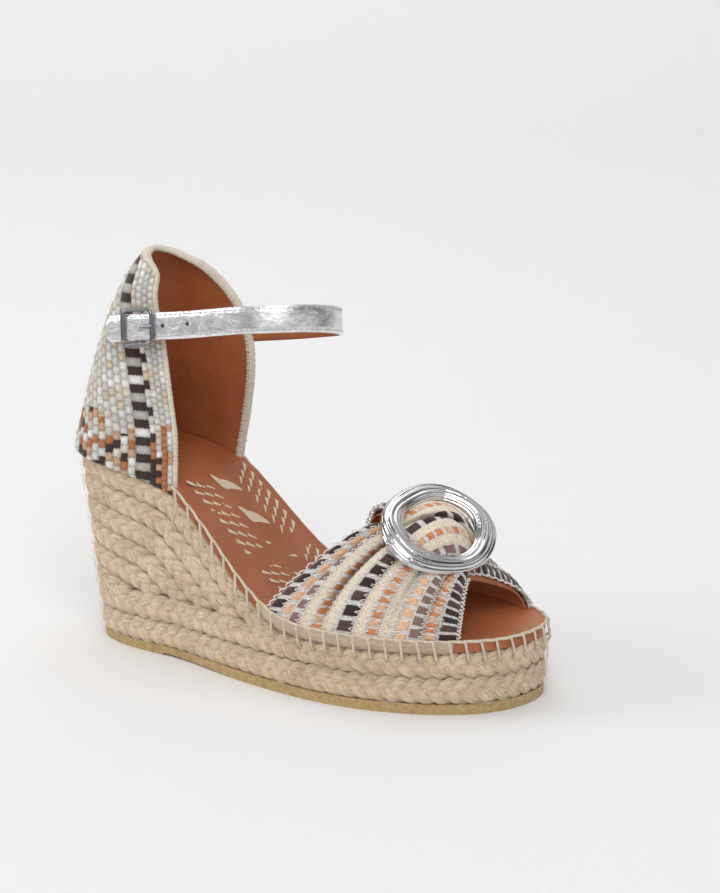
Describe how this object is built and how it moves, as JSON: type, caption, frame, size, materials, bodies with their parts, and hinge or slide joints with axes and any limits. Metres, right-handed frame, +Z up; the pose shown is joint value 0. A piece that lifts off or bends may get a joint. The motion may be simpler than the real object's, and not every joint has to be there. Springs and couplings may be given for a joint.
{
  "type": "wedge sandal",
  "caption": "Closed-back espadrille wedge sandal: plaited jute platform and wedge, gathered woven vamp with an oval metal ring, ankle strap that unbuckles.",
  "frame": {"origin": "middle of the footprint on the ground", "axes": "+X to the toe, +Y to the inner side of a right foot, +Z up"},
  "size_m": [0.2308, 0.0882, 0.1841],
  "materials": {
    "rubber": "honey crepe rubber, slightly translucent",
    "core": "light foam core, unseen",
    "jute": "natural plaited jute",
    "board": "fibre board, unseen",
    "foam": "soft foam, unseen",
    "tan_leather": "smooth tan leather",
    "cream_cord": "waxed cotton cord",
    "tape": "cotton tape",
    "woven_fabric": "multicoloured bouclé weave",
    "silver_metal": "polished, softly ridged",
    "metallic_leather": "crinkled silver foil",
    "dark_nickel": "dark nickel plate"
  },
  "bodies": {
    "sandal": {"heel_lift": "rubber", "rubber_outsole": "rubber", "wedge_core": "core", "platform_braid_lower": "jute", "platform_braid_upper": "jute", "insole_board": "board", "insole_foam": "foam", "sock_liner": "tan_leather", "edge_stitching": "cream_cord", "vamp_edge_tape_lateral": "tape", "vamp_edge_tape_medial": "tape", "counter_fabric": "woven_fabric", "counter_stiffener": "board", "counter_lining": "tan_leather", "counter_binding": "cream_cord", "vamp_fabric_lateral": "woven_fabric", "vamp_fabric_medial": "woven_fabric", "vamp_lining_lateral": "tan_leather", "vamp_lining_medial": "tan_leather", "vamp_knot": "woven_fabric", "vamp_ring": "silver_metal", "strap_anchor": "metallic_leather", "buckle_tab": "metallic_leather", "wedge_braid_1": "jute", "wedge_braid_2": "jute", "wedge_braid_3": "jute", "wedge_braid_4": "jute", "wedge_braid_5": "jute", "wedge_braid_6": "jute"},
    "ankle_strap": {"strap_face": "metallic_leather", "strap_lining": "tan_leather", "strap_end": "metallic_leather"},
    "buckle_frame": {"buckle_frame": "dark_nickel"},
    "buckle_prong": {"buckle_prong": "dark_nickel"}
  },
  "joints": [
    {"name": "ankle_strap_open", "type": "hinge", "parent": "sandal", "child": "ankle_strap", "pos_m": [-0.04209, 0.02958, 0.14451], "axis": [-0.1602, 0.2204, 0.9622], "range_deg": [0, 80], "deforming": ["strap_end"]},
    {"name": "buckle_frame_tilt", "type": "hinge", "parent": "sandal", "child": "buckle_frame", "pos_m": [-0.06537, -0.02611, 0.15339], "axis": [-0.1602, 0.2204, 0.9622], "range_deg": [-10, 10]},
    {"name": "buckle_prong_lift", "type": "hinge", "parent": "buckle_frame", "child": "buckle_prong", "pos_m": [-0.06537, -0.02611, 0.15339], "axis": [0.1602, -0.2204, -0.9622], "range_deg": [0, 80]}
  ]
}
